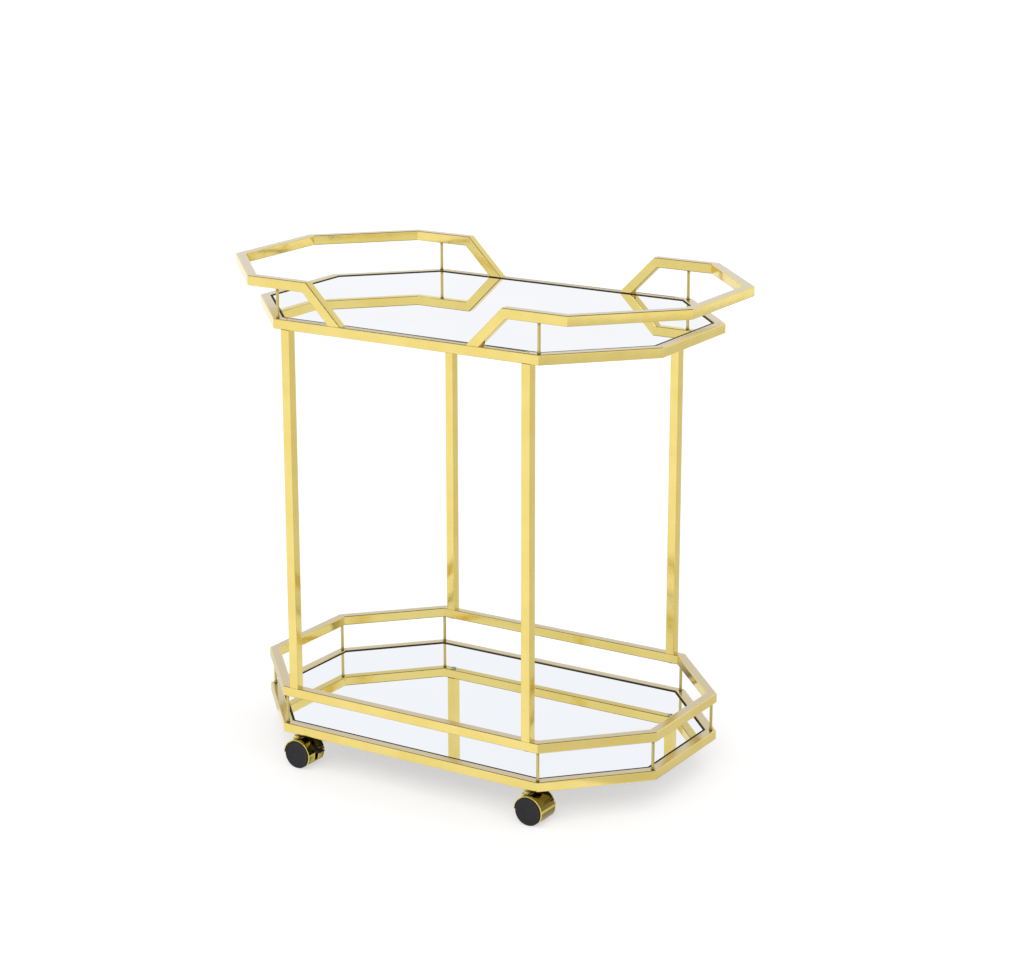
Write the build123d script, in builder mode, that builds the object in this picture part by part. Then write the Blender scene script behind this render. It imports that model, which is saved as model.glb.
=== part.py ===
"""Bar cart on wheels: two mirrored trays in mitred square tube, on four hooded casters.

+X runs along the cart's length, +Y towards its back and +Z up. The origin is on the floor,
under the middle of the cart. All sizes are in millimetres.
"""

import os
from math import cos, radians, sin, sqrt, tan

from build123d import *

# Square tube, the one section that the whole frame is cut from
TUBE = 16.0
TUBE_WALL = 1.2

# Plan of both trays: a long octagon, half sizes to the tube's outer faces
TRAY_HALF_LENGTH = 371.0
TRAY_HALF_WIDTH = 239.0
TRAY_SIDE_HALF = 240.0
TRAY_END_HALF = 100.0

# Heights of the tubes' undersides above the floor
LOWER_TRAY_Z = 52.0
GALLERY_Z = 115.0
UPPER_TRAY_Z = 720.0
HANDLE_Z = 783.0

# Handle rails: the tray's outline with each end pushed outwards, and two feet sloping at 45
# degrees, so that they are mitred at half of that
HANDLE_OVERHANG = 48.0
SLOPE_TOP_X = 177.0
SLOPE_MITRE = 22.5

# Legs, with the screws and inserts that hold them
LEG_X = 218.5
LEG_Y = TRAY_HALF_WIDTH - TUBE / 2
INSERT_LENGTH = 18.0
SCREW_RADIUS = 3.0
SCREW_HOLE_RADIUS = 3.2
SCREW_REACH = 12.0
SCREW_HEAD_RADIUS = 5.2
SCREW_HEAD_HEIGHT = 1.6
SUNK_HEAD_RADIUS = 5.6
SUNK_HEAD_HEIGHT = 2.6
SUNK_HEAD_TAPER = 45.0
SUNK_HEAD_PLAY = 0.1

# Thin round spindles at the outlines' corners
SPINDLE_RADIUS = 2.4

# Mirror, its board and seal, and the tabs that carry them
MIRROR_DROP = 1.2
MIRROR_THICKNESS = 4.0
BOARD_THICKNESS = 3.0
BOARD_GAP = 0.5
SEAL_WIDTH = 3.6
SEAL_DROP = 0.2
TAB_THICKNESS = 1.5
TAB_REACH = 14.0
TAB_WIDTH = 26.0
LONG_SIDE_TABS = (0.25, 0.75)
SHORT_SIDE_TABS = (0.5,)

# Casters: wheels, axle and the offset of the axle behind the stem
WHEEL_RADIUS = 23.0
WHEEL_WIDTH = 15.5
AXLE_Z = WHEEL_RADIUS
AXLE_OFFSET = 12.5
AXLE_RADIUS = 2.5
AXLE_REACH = 17.0
AXLE_PLAY = 0.05
WEB_THICKNESS = 11.0
WHEEL_SIDE_GAP = 0.5
HUB_RADIUS = 6.0
RIM_THICKNESS = 3.5
FACE_THICKNESS = 3.0
POCKET_DEPTH = 9.0
WHEEL_EDGE = 1.2

# Caster hood: a curved shell over the wheels' top and back, in degrees from straight back
HOOD_RADIUS = 25.0
HOOD_THICKNESS = 1.4
HOOD_LAP = 1.0
HOOD_BACK_ANGLE = -35.0
HOOD_FRONT_ANGLE = 180.0
RIB_ANGLE = 8.0
RIB_HEIGHT = 0.7
RIB_WIDTH = 2.0
BOSS_RADIUS = 5.5
BOSS_TOP_Z = 48.2

# Caster stem: a swivel pin below, a collar under the tube and a threaded shank above
PIN_RADIUS = 3.0
PIN_PLAY = 0.06
PIN_BOTTOM_Z = 31.0
PIN_END_PLAY = 1.0
COLLAR_RADIUS = 5.0
COLLAR_Z = 48.6
SHANK_RADIUS = 4.0
SHANK_TOP_Z = 65.0
SOCKET_RADIUS = 6.6

# Brake lever: pivot placed from the axle, neck in the hood's slot, pedal behind it
PIVOT_BACK = 13.5
PIVOT_UP = 9.0
PIVOT_RADIUS = 1.5
PIVOT_PLAY = 0.06
LEVER_BOSS_RADIUS = 3.2
NECK_WIDTH = 7.6
SLOT_WIDTH = 8.6
SLOT_FLOOR_RADIUS = 8.0
SLOT_TOP_ANGLE = 52.0
SLOT_BOTTOM_ANGLE = -24.0
PEDAL_WIDTH = 13.0
PEDAL_START = 27.5
PEDAL_END = 36.5
PEDAL_LOW = 4.0
PEDAL_HIGH = 9.0
PEDAL_TIP = 2.8
PEDAL_DIP = 1.0

CASTER_PLACES = {
    "front_left": (-LEG_X, -LEG_Y),
    "front_right": (LEG_X, -LEG_Y),
    "back_left": (-LEG_X, LEG_Y),
    "back_right": (LEG_X, LEG_Y),
}
BRAKED_CASTERS = ("front_left", "back_left")

os.makedirs("parts", exist_ok=True)


def finish(builder, name):
    """Label a finished piece and write it under the same name."""
    builder.part.label = name
    export_step(builder.part, f"parts/{name}.step")


# ---------------------------------------------------------------- outlines in plan


def octagon(half_length, half_width, side_half, end_half):
    """Corners of a long octagon, anticlockwise from the front side's left end."""
    return [
        Vector(-side_half, -half_width),
        Vector(side_half, -half_width),
        Vector(half_length, -end_half),
        Vector(half_length, end_half),
        Vector(side_half, half_width),
        Vector(-side_half, half_width),
        Vector(-half_length, end_half),
        Vector(-half_length, -end_half),
    ]


def inset(corners, depth):
    """The same outline with every side moved inwards by depth."""
    moved = []
    for before, here, after in zip(corners[-1:] + corners[:-1], corners, corners[1:] + corners[:1]):
        first = (here - before).normalized().rotate(Axis.Z, 90)
        second = (after - here).normalized().rotate(Axis.Z, 90)
        moved.append(here + (first + second) * (depth / (1 + first.dot(second))))
    return moved


def side_between(corners, side, near, far):
    """Plan of one side's strip between two depths, with mitred ends."""
    outer = inset(corners, near)
    inner = inset(corners, far)
    after = (side + 1) % len(corners)
    return [outer[side], outer[after], inner[after], inner[side]]


TRAY = octagon(TRAY_HALF_LENGTH, TRAY_HALF_WIDTH, TRAY_SIDE_HALF, TRAY_END_HALF)
HANDLES = octagon(
    TRAY_HALF_LENGTH + HANDLE_OVERHANG,
    TRAY_HALF_WIDTH,
    TRAY_SIDE_HALF + HANDLE_OVERHANG,
    TRAY_END_HALF,
)
SPINDLE_CENTRES = inset(TRAY, TUBE / 2)
LEG_CENTRES = [Vector(x, y) for x, y in CASTER_PLACES.values()]

# Sides of an outline, counted from the front side
LONG_SIDES = (0, 4)
END_SIDES = (2, 6)
CORNER_SIDES = (1, 3, 5, 7)
LONG_SIDE_CORNERS = (0, 1, 4, 5)


# ---------------------------------------------------------------- tube rings


def lay_rail(corners, side, level):
    """Add one mitred length of square tube along a side, with its underside at level."""
    with BuildSketch(Plane.XY.offset(level)) as outside:
        Polygon(*side_between(corners, side, 0, TUBE))
    extrude(outside.sketch, amount=TUBE)
    with BuildSketch(Plane.XY.offset(level + TUBE_WALL)) as inside:
        Polygon(*side_between(corners, side, TUBE_WALL, TUBE - TUBE_WALL))
    extrude(inside.sketch, amount=TUBE - 2 * TUBE_WALL, mode=Mode.SUBTRACT)


def drill(centres, level, radius, depth):
    """Drill upwards from level at each centre."""
    with BuildSketch(Plane.XY.offset(level)) as holes:
        with Locations(*centres):
            Circle(radius)
    extrude(holes.sketch, amount=depth, mode=Mode.SUBTRACT)


with BuildPart() as lower_side_rails:
    for side in LONG_SIDES:
        lay_rail(TRAY, side, LOWER_TRAY_Z)
    drill(LEG_CENTRES, LOWER_TRAY_Z, SHANK_RADIUS, TUBE_WALL)
finish(lower_side_rails, "lower_tray_side_rails")

with BuildPart() as gallery_side_rails:
    for side in LONG_SIDES:
        lay_rail(TRAY, side, GALLERY_Z)
    drill(LEG_CENTRES, GALLERY_Z, SCREW_HOLE_RADIUS, TUBE)
finish(gallery_side_rails, "gallery_side_rails")

with BuildPart() as upper_side_rails:
    for side in LONG_SIDES:
        lay_rail(TRAY, side, UPPER_TRAY_Z)
    drill(LEG_CENTRES, UPPER_TRAY_Z, SCREW_HOLE_RADIUS, TUBE)
    with Locations(Plane.XY.offset(UPPER_TRAY_Z + TUBE)):
        with Locations(*LEG_CENTRES):
            CounterSinkHole(SCREW_HOLE_RADIUS, SUNK_HEAD_RADIUS + SUNK_HEAD_PLAY, depth=TUBE)
finish(upper_side_rails, "upper_tray_side_rails")

for ring, level in (("lower_tray", LOWER_TRAY_Z), ("gallery", GALLERY_Z), ("upper_tray", UPPER_TRAY_Z)):
    for group, sides in (("end_rails", END_SIDES), ("corner_rails", CORNER_SIDES)):
        with BuildPart() as rails:
            for side in sides:
                lay_rail(TRAY, side, level)
        finish(rails, f"{ring}_{group}")


# ---------------------------------------------------------------- handle rails


def slope_profile(near, far):
    """Side view of a sloping foot between two depths below its upper face, for the right handle."""
    run = HANDLE_Z - UPPER_TRAY_Z
    foot_x = SLOPE_TOP_X - run
    mitre = tan(radians(SLOPE_MITRE))
    top_z = HANDLE_Z + TUBE
    return [
        Vector(foot_x + near * sqrt(2), top_z - run),
        Vector(foot_x + far * sqrt(2), top_z - run),
        Vector(SLOPE_TOP_X + far * mitre, top_z - far),
        Vector(SLOPE_TOP_X + near * mitre, top_z - near),
    ]


def facing(points, hand):
    """A side view turned to the right (+1) or to the left (-1) end of the cart."""
    return [Vector(hand * point.X, point.Y) for point in points]


# Each end's corner and end sides in the outline: right end first, then left
HANDLE_SIDES = {"right": (1, (1, 3), 2), "left": (-1, (5, 7), 6)}
FRONT_FACE = Plane.XZ.offset(TRAY_HALF_WIDTH)
BACK_FACE = Plane.XZ.offset(-TRAY_HALF_WIDTH + TUBE)

for end, (hand, corner_sides, end_side) in HANDLE_SIDES.items():
    with BuildPart() as end_bar:
        lay_rail(HANDLES, end_side, HANDLE_Z)
    finish(end_bar, f"{end}_handle_end_bar")

    with BuildPart() as corner_bars:
        for side in corner_sides:
            lay_rail(HANDLES, side, HANDLE_Z)
    finish(corner_bars, f"{end}_handle_corner_bars")

    # The side bars are the outline's long sides, cut off where the sloping feet meet them
    waste = [
        Vector(SLOPE_TOP_X, HANDLE_Z + TUBE),
        Vector(SLOPE_TOP_X + TUBE * tan(radians(SLOPE_MITRE)), HANDLE_Z),
        Vector(-TRAY_HALF_LENGTH, HANDLE_Z),
        Vector(-TRAY_HALF_LENGTH, HANDLE_Z + TUBE),
    ]
    with BuildPart() as side_bars:
        for side in LONG_SIDES:
            lay_rail(HANDLES, side, HANDLE_Z)
        with BuildSketch(Plane.XZ):
            Polygon(*facing(waste, hand))
        extrude(amount=TRAY_HALF_WIDTH, both=True, mode=Mode.SUBTRACT)
    finish(side_bars, f"{end}_handle_side_bars")

    with BuildPart() as sloping_feet:
        for face in (FRONT_FACE, BACK_FACE):
            with BuildSketch(face):
                Polygon(*facing(slope_profile(0, TUBE), hand))
            extrude(amount=-TUBE)
            with BuildSketch(face.offset(-TUBE_WALL)):
                Polygon(*facing(slope_profile(TUBE_WALL, TUBE - TUBE_WALL), hand))
            extrude(amount=-(TUBE - 2 * TUBE_WALL), mode=Mode.SUBTRACT)
    finish(sloping_feet, f"{end}_handle_sloping_feet")


# ---------------------------------------------------------------- spindles


def stand_round(centres, radius, bottom, top):
    """Add an upright round bar at each centre."""
    with BuildSketch(Plane.XY.offset(bottom)) as sections:
        with Locations(*centres):
            Circle(radius)
    extrude(sections.sketch, amount=top - bottom)


with BuildPart() as gallery_spindles:
    stand_round(SPINDLE_CENTRES, SPINDLE_RADIUS, LOWER_TRAY_Z + TUBE, GALLERY_Z)
finish(gallery_spindles, "gallery_spindles")

with BuildPart() as handle_spindles:
    handle_centres = [SPINDLE_CENTRES[corner] for corner in LONG_SIDE_CORNERS]
    stand_round(handle_centres, SPINDLE_RADIUS, UPPER_TRAY_Z + TUBE, HANDLE_Z)
finish(handle_spindles, "handle_spindles")


# ---------------------------------------------------------------- legs and their fixings

LEG_BOTTOM_Z = GALLERY_Z + TUBE

for corner, centre in CASTER_PLACES.items():
    with BuildPart() as leg:
        with BuildSketch(Plane.XY.offset(LEG_BOTTOM_Z)):
            with Locations(centre):
                Rectangle(TUBE, TUBE)
                Rectangle(TUBE - 2 * TUBE_WALL, TUBE - 2 * TUBE_WALL, mode=Mode.SUBTRACT)
        extrude(amount=UPPER_TRAY_Z - LEG_BOTTOM_Z)
    finish(leg, f"{corner}_leg")

with BuildPart() as leg_inserts:
    for bottom in (LEG_BOTTOM_Z, UPPER_TRAY_Z - INSERT_LENGTH):
        with BuildSketch(Plane.XY.offset(bottom)):
            with Locations(*LEG_CENTRES):
                Rectangle(TUBE - 2 * TUBE_WALL, TUBE - 2 * TUBE_WALL)
                Circle(SCREW_RADIUS, mode=Mode.SUBTRACT)
        extrude(amount=INSERT_LENGTH)
finish(leg_inserts, "leg_thread_inserts")

with BuildPart() as lower_screws:
    stand_round(LEG_CENTRES, SCREW_HEAD_RADIUS, GALLERY_Z - SCREW_HEAD_HEIGHT, GALLERY_Z)
    stand_round(LEG_CENTRES, SCREW_RADIUS, GALLERY_Z, LEG_BOTTOM_Z + SCREW_REACH)
finish(lower_screws, "lower_leg_screws")

UPPER_FACE_Z = UPPER_TRAY_Z + TUBE
with BuildPart() as upper_screws:
    stand_round(LEG_CENTRES, SCREW_RADIUS, UPPER_TRAY_Z - SCREW_REACH, UPPER_FACE_Z - SUNK_HEAD_HEIGHT)
    with BuildSketch(Plane.XY.offset(UPPER_FACE_Z)):
        with Locations(*LEG_CENTRES):
            Circle(SUNK_HEAD_RADIUS)
    extrude(amount=-SUNK_HEAD_HEIGHT, taper=SUNK_HEAD_TAPER)
finish(upper_screws, "upper_leg_screws")


# ---------------------------------------------------------------- mirrors


def lay_plate(depth, bottom, thickness):
    """Add a flat plate in the tray's outline, its edge set in by depth."""
    with BuildSketch(Plane.XY.offset(bottom)) as outline:
        Polygon(*inset(TRAY, depth))
    extrude(outline.sketch, amount=thickness)


for tray, level in (("upper", UPPER_TRAY_Z), ("lower", LOWER_TRAY_Z)):
    mirror_z = level + TUBE - MIRROR_DROP - MIRROR_THICKNESS
    board_z = mirror_z - BOARD_THICKNESS
    seal_height = MIRROR_THICKNESS + MIRROR_DROP - SEAL_DROP

    with BuildPart() as mirror_pane:
        lay_plate(TUBE + SEAL_WIDTH, mirror_z, MIRROR_THICKNESS)
    finish(mirror_pane, f"{tray}_mirror")

    with BuildPart() as board:
        lay_plate(TUBE + BOARD_GAP, board_z, BOARD_THICKNESS)
    finish(board, f"{tray}_backing_board")

    with BuildPart() as seal:
        for side in range(len(TRAY)):
            with BuildSketch(Plane.XY.offset(mirror_z)):
                Polygon(*side_between(TRAY, side, TUBE, TUBE + SEAL_WIDTH))
            extrude(amount=seal_height)
    finish(seal, f"{tray}_mirror_seal")

    # One tab welded to the middle of each short side, and two on each long side
    with BuildPart() as tabs:
        inner = inset(TRAY, TUBE)
        for side in range(len(TRAY)):
            start = inner[side]
            run = inner[(side + 1) % len(TRAY)] - start
            shares = LONG_SIDE_TABS if side in LONG_SIDES else SHORT_SIDE_TABS
            heading = run.get_signed_angle(Vector(1, 0, 0), Vector(0, 0, -1))
            for share in shares:
                middle = start + run * share + run.normalized().rotate(Axis.Z, 90) * (TAB_REACH / 2)
                with BuildSketch(Plane.XY.offset(board_z - TAB_THICKNESS)):
                    with Locations(Location((middle.X, middle.Y), heading)):
                        Rectangle(TAB_WIDTH, TAB_REACH)
                extrude(amount=TAB_THICKNESS)
    finish(tabs, f"{tray}_support_tabs")


# ---------------------------------------------------------------- caster stems, fixed to the cart

with BuildPart() as stem_sockets:
    with BuildSketch(Plane.XY.offset(LOWER_TRAY_Z + TUBE_WALL)):
        with Locations(*LEG_CENTRES):
            Circle(SOCKET_RADIUS)
            Circle(SHANK_RADIUS, mode=Mode.SUBTRACT)
    extrude(amount=TUBE - 2 * TUBE_WALL)
finish(stem_sockets, "caster_sockets")

with BuildPart() as stems:
    stand_round(LEG_CENTRES, PIN_RADIUS, PIN_BOTTOM_Z, COLLAR_Z)
    stand_round(LEG_CENTRES, COLLAR_RADIUS, COLLAR_Z, LOWER_TRAY_Z)
    stand_round(LEG_CENTRES, SHANK_RADIUS, LOWER_TRAY_Z, SHANK_TOP_Z)
finish(stems, "caster_stems")


# ---------------------------------------------------------------- swivelling casters


def ring_sector(inner_radius, outer_radius, start_angle, end_angle):
    """Side view of a curved band about the axle, from one angle round to another."""
    first = (cos(radians(start_angle)), sin(radians(start_angle)))
    last = (cos(radians(end_angle)), sin(radians(end_angle)))
    with BuildLine() as band:
        CenterArc((0, 0), outer_radius, start_angle, end_angle - start_angle)
        CenterArc((0, 0), inner_radius, start_angle, end_angle - start_angle)
        Line(
            (inner_radius * first[0], inner_radius * first[1]),
            (outer_radius * first[0], outer_radius * first[1]),
        )
        Line(
            (inner_radius * last[0], inner_radius * last[1]),
            (outer_radius * last[0], outer_radius * last[1]),
        )
    make_face(band.edges())


def neck_profile():
    """Side view of the lever inside the slot: a round boss and a neck reaching back."""
    Polygon(
        (PIVOT_BACK, PIVOT_UP - LEVER_BOSS_RADIUS),
        (PEDAL_START, PEDAL_LOW),
        (PEDAL_START, PEDAL_HIGH),
        (PIVOT_BACK, PIVOT_UP + LEVER_BOSS_RADIUS),
    )
    with Locations((PIVOT_BACK, PIVOT_UP)):
        Circle(LEVER_BOSS_RADIUS)
        Circle(PIVOT_RADIUS + PIVOT_PLAY, mode=Mode.SUBTRACT)


def pedal_profile():
    """Side view of the pedal behind the hood, thinner towards its tip."""
    Polygon(
        (PEDAL_START, PEDAL_LOW),
        (PEDAL_END, PEDAL_LOW + PEDAL_DIP),
        (PEDAL_END, PEDAL_LOW + PEDAL_DIP + PEDAL_TIP),
        (PEDAL_START, PEDAL_HIGH),
    )


HOOD_INNER = HOOD_RADIUS - HOOD_THICKNESS
WIDTH = WEB_THICKNESS + 2 * (WHEEL_WIDTH + WHEEL_SIDE_GAP)
WHEEL_START = WEB_THICKNESS / 2 + WHEEL_SIDE_GAP

for corner, (stem_x, stem_y) in CASTER_PLACES.items():
    # Side view plane of this caster: X backwards from the axle, Y up, normal towards the front
    side_view = Plane((stem_x + AXLE_OFFSET, stem_y, AXLE_Z), x_dir=(1, 0, 0), z_dir=(0, -1, 0))
    braked = corner in BRAKED_CASTERS

    with BuildPart() as hood:
        with BuildSketch(side_view):
            ring_sector(HOOD_INNER, HOOD_RADIUS, HOOD_BACK_ANGLE, HOOD_FRONT_ANGLE)
        extrude(amount=WIDTH / 2, both=True)
        with BuildSketch(side_view):
            ring_sector(HUB_RADIUS - HOOD_LAP, HOOD_INNER + HOOD_LAP, HOOD_BACK_ANGLE, HOOD_FRONT_ANGLE)
            Circle(HUB_RADIUS)
        extrude(amount=WEB_THICKNESS / 2, both=True)
        with BuildSketch(side_view):
            with Locations(Location((0, 0), RIB_ANGLE)):
                with Locations((HOOD_RADIUS, 0)):
                    Rectangle(2 * RIB_HEIGHT, RIB_WIDTH)
        extrude(amount=WIDTH / 2, both=True)
        with BuildSketch(Plane.XY.offset(BOSS_TOP_Z)):
            with Locations((stem_x, stem_y)):
                Circle(BOSS_RADIUS)
        extrude(until=Until.NEXT, dir=(0, 0, -1))
        with BuildSketch(Plane.XY.offset(PIN_BOTTOM_Z - PIN_END_PLAY)):
            with Locations((stem_x, stem_y)):
                Circle(PIN_RADIUS + PIN_PLAY)
        extrude(amount=BOSS_TOP_Z, mode=Mode.SUBTRACT)
        with BuildSketch(side_view):
            Circle(AXLE_RADIUS)
        extrude(amount=WIDTH / 2, both=True, mode=Mode.SUBTRACT)
        if braked:
            with BuildSketch(side_view):
                ring_sector(SLOT_FLOOR_RADIUS, HOOD_RADIUS + HOOD_LAP, SLOT_BOTTOM_ANGLE, SLOT_TOP_ANGLE)
            extrude(amount=SLOT_WIDTH / 2, both=True, mode=Mode.SUBTRACT)
            with BuildSketch(side_view):
                with Locations((PIVOT_BACK, PIVOT_UP)):
                    Circle(PIVOT_RADIUS)
            extrude(amount=WIDTH / 2, both=True, mode=Mode.SUBTRACT)
    finish(hood, f"{corner}_caster_hood")

    with BuildPart() as axle:
        with BuildSketch(side_view):
            Circle(AXLE_RADIUS)
        extrude(amount=AXLE_REACH, both=True)
    finish(axle, f"{corner}_caster_axle")

    # Wheels: a flat outer face, a rim and a hub round the blind axle hole, open on the inside
    for place, outwards in (("front", -1), ("back", 1)):
        wheel_frame = Plane(
            (stem_x + AXLE_OFFSET, stem_y + outwards * WHEEL_START, AXLE_Z),
            x_dir=(1, 0, 0),
            z_dir=(0, outwards, 0),
        )
        with BuildPart() as wheel:
            with BuildSketch(wheel_frame):
                Circle(WHEEL_RADIUS)
            extrude(amount=WHEEL_WIDTH)
            rims = wheel.edges().filter_by(GeomType.CIRCLE)
            chamfer(rims, WHEEL_EDGE)
            with BuildSketch(wheel_frame):
                Circle(WHEEL_RADIUS - RIM_THICKNESS)
                Circle(HUB_RADIUS, mode=Mode.SUBTRACT)
            extrude(amount=POCKET_DEPTH, mode=Mode.SUBTRACT)
            with BuildSketch(wheel_frame):
                Circle(AXLE_RADIUS + AXLE_PLAY)
            extrude(amount=WHEEL_WIDTH - FACE_THICKNESS, mode=Mode.SUBTRACT)
        finish(wheel, f"{corner}_{place}_wheel")

    if braked:
        with BuildPart() as lever:
            with BuildSketch(side_view):
                neck_profile()
            extrude(amount=NECK_WIDTH / 2, both=True)
            with BuildSketch(side_view):
                pedal_profile()
            extrude(amount=PEDAL_WIDTH / 2, both=True)
        finish(lever, f"{corner}_brake_lever")

        with BuildPart() as pivot_pin:
            with BuildSketch(side_view):
                with Locations((PIVOT_BACK, PIVOT_UP)):
                    Circle(PIVOT_RADIUS)
            extrude(amount=WEB_THICKNESS / 2, both=True)
        finish(pivot_pin, f"{corner}_brake_pin")
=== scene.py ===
"""Looks of the bar cart: gold-plated square tube, mirrored trays and hooded twin-wheel casters.

Every piece is in metres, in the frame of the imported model, and rides on one of its bodies.
Sizes and profiles that are written out are in millimetres.
"""

from math import cos, pi, radians, sin, sqrt, tan

import bmesh
import bpy
from mathutils import Matrix, Vector


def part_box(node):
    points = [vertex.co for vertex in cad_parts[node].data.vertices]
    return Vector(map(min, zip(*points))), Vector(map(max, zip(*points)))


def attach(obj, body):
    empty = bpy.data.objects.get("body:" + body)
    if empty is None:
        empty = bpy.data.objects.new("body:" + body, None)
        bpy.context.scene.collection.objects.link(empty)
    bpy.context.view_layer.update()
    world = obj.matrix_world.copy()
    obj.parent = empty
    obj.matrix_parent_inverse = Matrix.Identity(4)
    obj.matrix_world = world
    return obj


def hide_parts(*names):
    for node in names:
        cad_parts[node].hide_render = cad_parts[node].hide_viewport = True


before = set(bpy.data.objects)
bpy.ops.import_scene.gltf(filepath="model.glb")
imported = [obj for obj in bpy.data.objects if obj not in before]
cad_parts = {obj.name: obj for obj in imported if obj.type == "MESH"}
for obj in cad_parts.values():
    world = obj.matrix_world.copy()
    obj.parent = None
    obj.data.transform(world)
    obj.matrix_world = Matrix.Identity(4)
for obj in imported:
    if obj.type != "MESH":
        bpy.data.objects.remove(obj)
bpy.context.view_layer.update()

# ------------------------------------------------------------------ studio
# A pale seamless floor in a white room, lit by the room's walls and by soft boxes overhead.
# The upper part of the room is darker, so that rounded edges keep a thin dark line.


class Link:
    """A socket that sums can be written with: 1 - mask adds the node that works it out."""

    def __init__(self, tree, source=None):
        self.tree = tree
        self.source = source

    def node(self, kind, settings=None, inputs=None, output=0):
        """Add any node: its settings come first, then values or links for its inputs."""
        made = self.tree.nodes.new(kind)
        for name, value in (settings or {}).items():
            if name == "stops":
                set_stops(made.color_ramp, value)
            else:
                setattr(made, name, value)
        for name, value in (inputs or {}).items():
            if isinstance(value, Link):
                self.tree.links.new(value.source, made.inputs[name])
            else:
                made.inputs[name].default_value = value
        return Link(self.tree, made.outputs[output] if made.outputs else None)

    def other(self, name):
        """Another output of the same node."""
        return Link(self.tree, self.source.node.outputs[name])

    def place(self):
        """Where a point is on its own piece."""
        return self.node("ShaderNodeTexCoord", output="Object")

    def mark(self, name, output="Fac"):
        """A value that the piece's mesh carries."""
        return self.node("ShaderNodeAttribute", {"attribute_name": name}, output=output)

    def stretch(self, scale, turn=(0, 0, 0)):
        """This place scaled along each axis, and turned."""
        inputs = {"Vector": self, "Scale": scale, "Rotation": turn}
        return self.node("ShaderNodeMapping", None, inputs)

    def noise(self, scale, detail, **more):
        """Cloudy noise over this place, from 0 to 1."""
        inputs = {"Vector": self, "Scale": scale, "Detail": detail, **more}
        return self.node("ShaderNodeTexNoise", None, inputs, "Fac")

    def bump(self, strength, depth):
        """A surface that rises with this value."""
        inputs = {"Height": self, "Strength": strength, "Distance": depth}
        return self.node("ShaderNodeBump", None, inputs)

    def math(self, operation, *values):
        return self.node("ShaderNodeMath", {"operation": operation}, dict(enumerate(values)))

    def __add__(self, value):
        return self.math("ADD", self, value)

    def __radd__(self, value):
        return self.math("ADD", value, self)

    def __sub__(self, value):
        return self.math("SUBTRACT", self, value)

    def __rsub__(self, value):
        return self.math("SUBTRACT", value, self)

    def __mul__(self, value):
        return self.math("MULTIPLY", self, value)

    def __rmul__(self, value):
        return self.math("MULTIPLY", value, self)

    def __truediv__(self, value):
        return self.math("DIVIDE", self, value)

    def between(self, low, high):
        """0 below low, 1 above high, and smooth in between."""
        inputs = {"Value": self, "From Min": low, "From Max": high}
        return self.node("ShaderNodeMapRange", {"interpolation_type": "SMOOTHSTEP"}, inputs)

    def tint(self, first, second):
        """The first colour where this is 0, and the second where it is 1."""
        inputs = {0: self, 6: first, 7: second}
        return self.node("ShaderNodeMix", {"data_type": "RGBA"}, inputs, output=2)


def set_stops(ramp, stops):
    """Give a colour ramp its stops, as (place, colour) pairs."""
    while len(ramp.elements) < len(stops):
        ramp.elements.new(0.5)
    for element, (place, colour) in zip(ramp.elements, stops):
        element.position = place
        element.color = colour


def new_material(name):
    """An empty material and the link that its nodes are added from."""
    material = bpy.data.materials.new(name)
    material.use_nodes = True
    material.node_tree.nodes.clear()
    return material, Link(material.node_tree)


def close_material(made, **inputs):
    """Finish a material; its shader's inputs are named with underscores for spaces."""
    named = {name.replace("_", " "): value for name, value in inputs.items()}
    shader = made.node("ShaderNodeBsdfPrincipled", None, named)
    made.node("ShaderNodeOutputMaterial", None, {"Surface": shader})


MM = 0.001
ROOM_HORIZON = (0.98, 0.98, 1.0, 1)
ROOM_WALL = (0.90, 0.91, 0.95, 1)
ROOM_CEILING = (0.17, 0.165, 0.165, 1)
WALL_TOP = 0.58
CEILING_FOOT = 0.74

room = bpy.data.worlds.new("white room")
room.use_nodes = True
room.node_tree.nodes.clear()
walls = Link(room.node_tree)
heading = walls.node("ShaderNodeTexCoord", output="Generated")
height = walls.node("ShaderNodeSeparateXYZ", None, {0: heading}, output="Z")
room_colour = height.node(
    "ShaderNodeValToRGB",
    {"stops": [(0.0, ROOM_HORIZON), (WALL_TOP, ROOM_WALL), (CEILING_FOOT, ROOM_CEILING)]},
    {"Fac": height},
)
glow = walls.node("ShaderNodeBackground", None, {"Color": room_colour, "Strength": 1.0})
walls.node("ShaderNodeOutputWorld", None, {"Surface": glow})
bpy.context.scene.world = room
bpy.context.scene.view_settings.view_transform = "Standard"

FLOOR_HALF = 14.0
FLOOR_PALE = (0.62, 0.62, 0.625, 1)
FLOOR_GREY = (0.60, 0.60, 0.605, 1)
FLOOR_GLOW = 0.56

floor_material, made = new_material("pale floor")
speckle = made.node("ShaderNodeTexNoise", None, {"Scale": 3.0, "Detail": 4.0}, "Fac")
close_material(
    made,
    Base_Color=speckle.tint(FLOOR_GREY, FLOOR_PALE),
    Roughness=0.75,
    Specular_IOR_Level=0.2,
    Emission_Color=(1, 1, 1, 1),
    Emission_Strength=FLOOR_GLOW,
)
floor_mesh = bpy.data.meshes.new("floor")
floor_mesh.from_pydata(
    [(x * FLOOR_HALF, y * FLOOR_HALF, 0) for x, y in ((-1, -1), (1, -1), (1, 1), (-1, 1))],
    [],
    [(0, 1, 2, 3)],
)
floor_mesh.materials.append(floor_material)
floor = bpy.data.objects.new("floor", floor_mesh)
bpy.context.scene.collection.objects.link(floor)

OVERHEAD_SPREAD = radians(85)
OVERHEAD_LIGHT = 1.05
OVERHEAD_TILT = (radians(12), radians(10), 0)

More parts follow.
